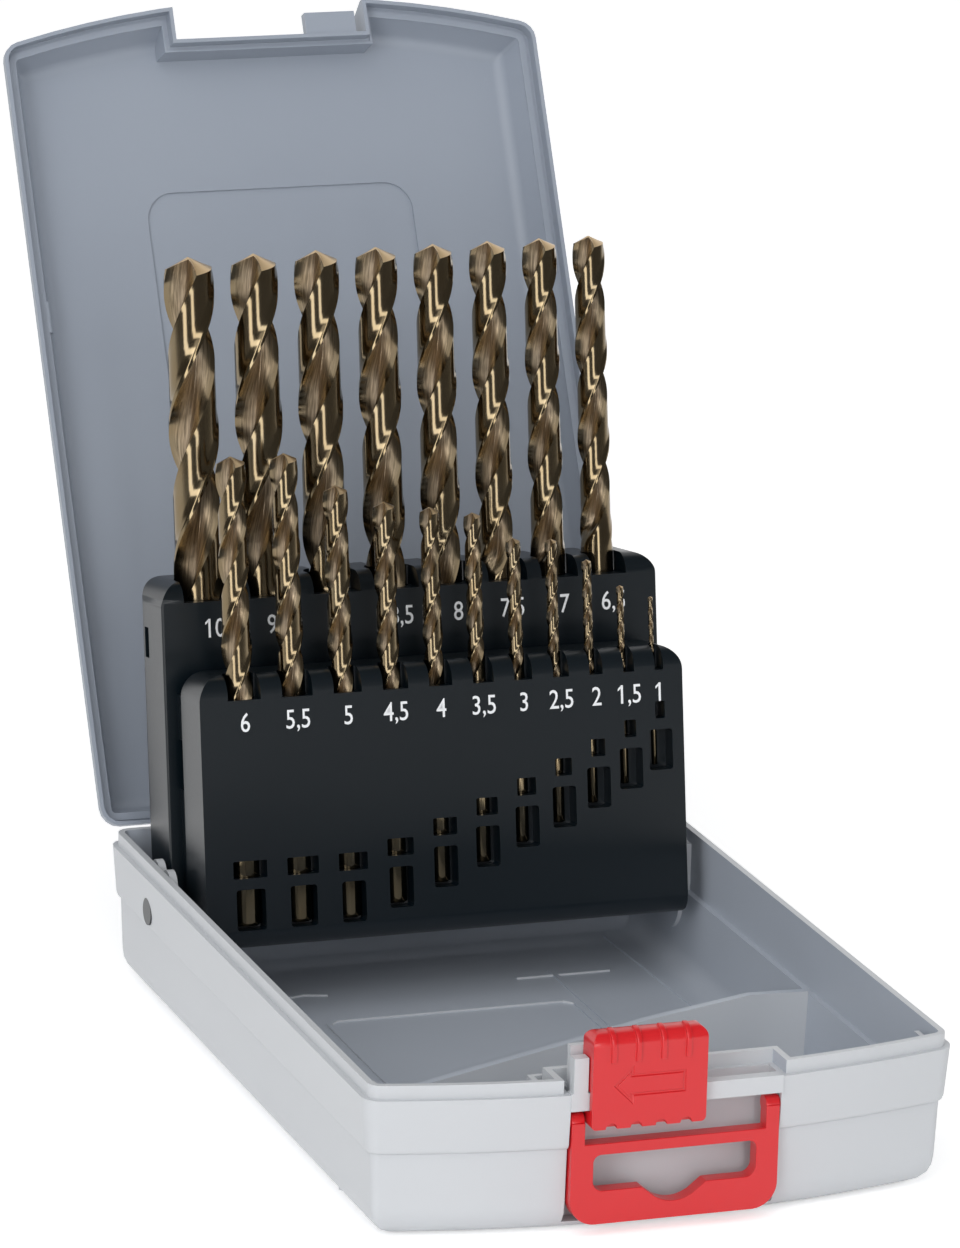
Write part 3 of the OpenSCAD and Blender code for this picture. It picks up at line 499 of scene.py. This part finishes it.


# where the tray's inside, painted in shade, ends, in mm, and how far a face's normal may turn, as shares of
# one
tray = {"back": 80.0, "rim": 27.0, "bottom": 1.0, "recessHalf": 21.0, "recessFront": -81.0,
        "middle": (0.0, 124.0), "rearFrom": 60.0, "sideways": 0.8, "outward": 0.4, "upward": 0.5}


def paintedShadeFaces(centres, normals):
    # faces that look up or towards the middle, below the rim and off the hinge and the latch's recess: the
    # tray's inside, which gets the painted shade
    x, y, z = centres.T
    rear = y > tray["rearFrom"]
    middleX, middleY = tray["middle"]
    away = np.stack([np.where(rear, 0, x - middleX), np.where(rear, y, y - middleY)], axis=1)
    outward = np.where(np.abs(normals[:, 0]) > tray["sideways"], normals[:, 0] * np.sign(x),
                       (normals[:, :2] * away).sum(axis=1) / np.linalg.norm(away, axis=1))
    latch = (np.abs(x) < tray["recessHalf"]) & (y < tray["recessFront"])
    top = (z > tray["rim"]) & (normals[:, 2] > tray["upward"])
    return (outward < tray["outward"]) & (z > tray["bottom"]) & (y < tray["back"]) & ~latch & ~top


# the tray's inner faces and the whole lid get the painted shade: the same grey plastic, painted darker and
# bluer
softened("base_shell", 0.35, [greyAbs, trayPaintedShadeAbs], "base", inside=paintedShadeFaces)
softened("lid_shell", 0.35, [lidPaintedShadeAbs], "lid")
softened("rack_rear_tier", 0.3, [blackAbs], "rack")
softened("rack_front_tier", 0.3, [blackAbs], "rack")
softened("latch_slider", 0.4, [redAbs], "latch")
hanger = softened("hang_handle", 0.4, [redAbs], "hanger")
# the dip under the hang slot, in mm: half width, and depth below the slot's lower edge; its end points stay
dip = {"half": 6.4, "depth": 3.2, "slotLow": 8.7, "reach": 4.0, "endGap": 0.05, "topGap": 0.3}


def smoothDip(mesh):
    # the dip's points move onto a parabola: its depth, less the square of the share of the half width
    flat = np.empty(len(mesh.vertices) * 3)
    mesh.vertices.foreach_get("co", flat)
    points = flat.reshape(-1, 3)
    x, z = np.abs(points[:, 0]) / mm, points[:, 2] / mm
    below = dip["slotLow"] - z
    inDip = (x < dip["half"] - dip["endGap"]) & (below > dip["topGap"]) & (below < dip["reach"])
    curve = dip["slotLow"] - dip["depth"] * (1 - (x / dip["half"]) ** 2)
    points[inDip, 2] = curve[inDip] * mm
    mesh.vertices.foreach_set("co", points.ravel())
    mesh.update()


smoothDip(hanger.data)
for side in ("left", "right"):
    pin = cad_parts["hinge_pin_" + side]
    pin.data.materials.clear()
    pin.data.materials.append(pinSteel)
print("moulded pieces ready")

# sizes printed on the rack's faces, in mm: lines are heights up the rack, faces are depths in it; capShare is
# a figure's height as a share of the typeface's size; flag is in figure heights from the upper left of the 1
sizePrint = {"height": 3.9, "capShare": 0.72, "narrow": 0.82, "bold": 0.004, "thick": 0.04, "lift": 0.02,
             "frontLine": 38.9, "rearLine": 55.8, "frontFace": -18.0, "rearFace": 0.0, "rearShift": 0.8,
             "flag": ((0.03, 0.0), (-0.2, -0.19), (-0.2, -0.31), (0.03, -0.15)), "curveSteps": 3}


def addFlag(mesh):
    # the typeface's 1 is a bare stem, so it gets the slanting stroke of a printed 1, as a thin prism
    height, half = sizePrint["height"] * mm, sizePrint["thick"] * mm / 2
    shape = bmesh.new()
    shape.from_mesh(mesh)
    left, top = min(v.co.x for v in shape.verts), max(v.co.y for v in shape.verts)
    front, back = ([shape.verts.new((left + x * height, top + y * height, z)) for x, y in sizePrint["flag"]]
                   for z in (half, -half))
    shape.faces.new(front)
    shape.faces.new(back[::-1])
    for i in range(len(front)):
        j = (i + 1) % len(front)
        shape.faces.new((back[i], back[j], front[j], front[i]))
    shape.to_mesh(mesh)
    shape.free()


def printedSize(d):
    text = bpy.data.curves.new("size", "FONT")
    text.body = ("%g" % d).replace(".", ",")
    text.size = sizePrint["height"] * mm / sizePrint["capShare"]
    text.align_x = "CENTER"
    text.extrude = sizePrint["thick"] * mm / 2
    text.offset = sizePrint["bold"] * sizePrint["height"] * mm
    text.resolution_u = sizePrint["curveSteps"]
    label = bpy.data.objects.new("size", text)
    bpy.context.collection.objects.link(label)
    bpy.context.view_layer.update()
    mesh = bpy.data.meshes.new_from_object(label)
    bpy.data.objects.remove(label)
    if text.body[0] == "1":
        addFlag(mesh)
    flat = np.empty(len(mesh.vertices) * 3)
    mesh.vertices.foreach_get("co", flat)
    x, y, z = flat.reshape(-1, 3).T / mm
    isRear = d > frontSizes[0]
    line = sizePrint["rearLine"] if isRear else sizePrint["frontLine"]
    face = sizePrint["rearFace"] if isRear else sizePrint["frontFace"]
    middle = drillX[d] + (sizePrint["rearShift"] if isRear else 0)
    # the flat text's up becomes the rack's up, and its front faces forward
    placed = np.stack([x * sizePrint["narrow"] + middle, face - sizePrint["lift"] - z,
                       y + line - sizePrint["height"] / 2], axis=-1)
    mesh.vertices.foreach_set("co", inRack(placed).ravel())
    mesh.update()
    name = "printed_size_" + ("%g" % d).replace(".", "_")
    mesh.name = name
    mesh.materials.clear()
    mesh.materials.append(inkMaterial)
    piece = bpy.data.objects.new(name, mesh)
    bpy.context.collection.objects.link(piece)
    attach(piece, "rack")


for size in rearSizes + frontSizes:
    printedSize(size)
print("sizes printed")
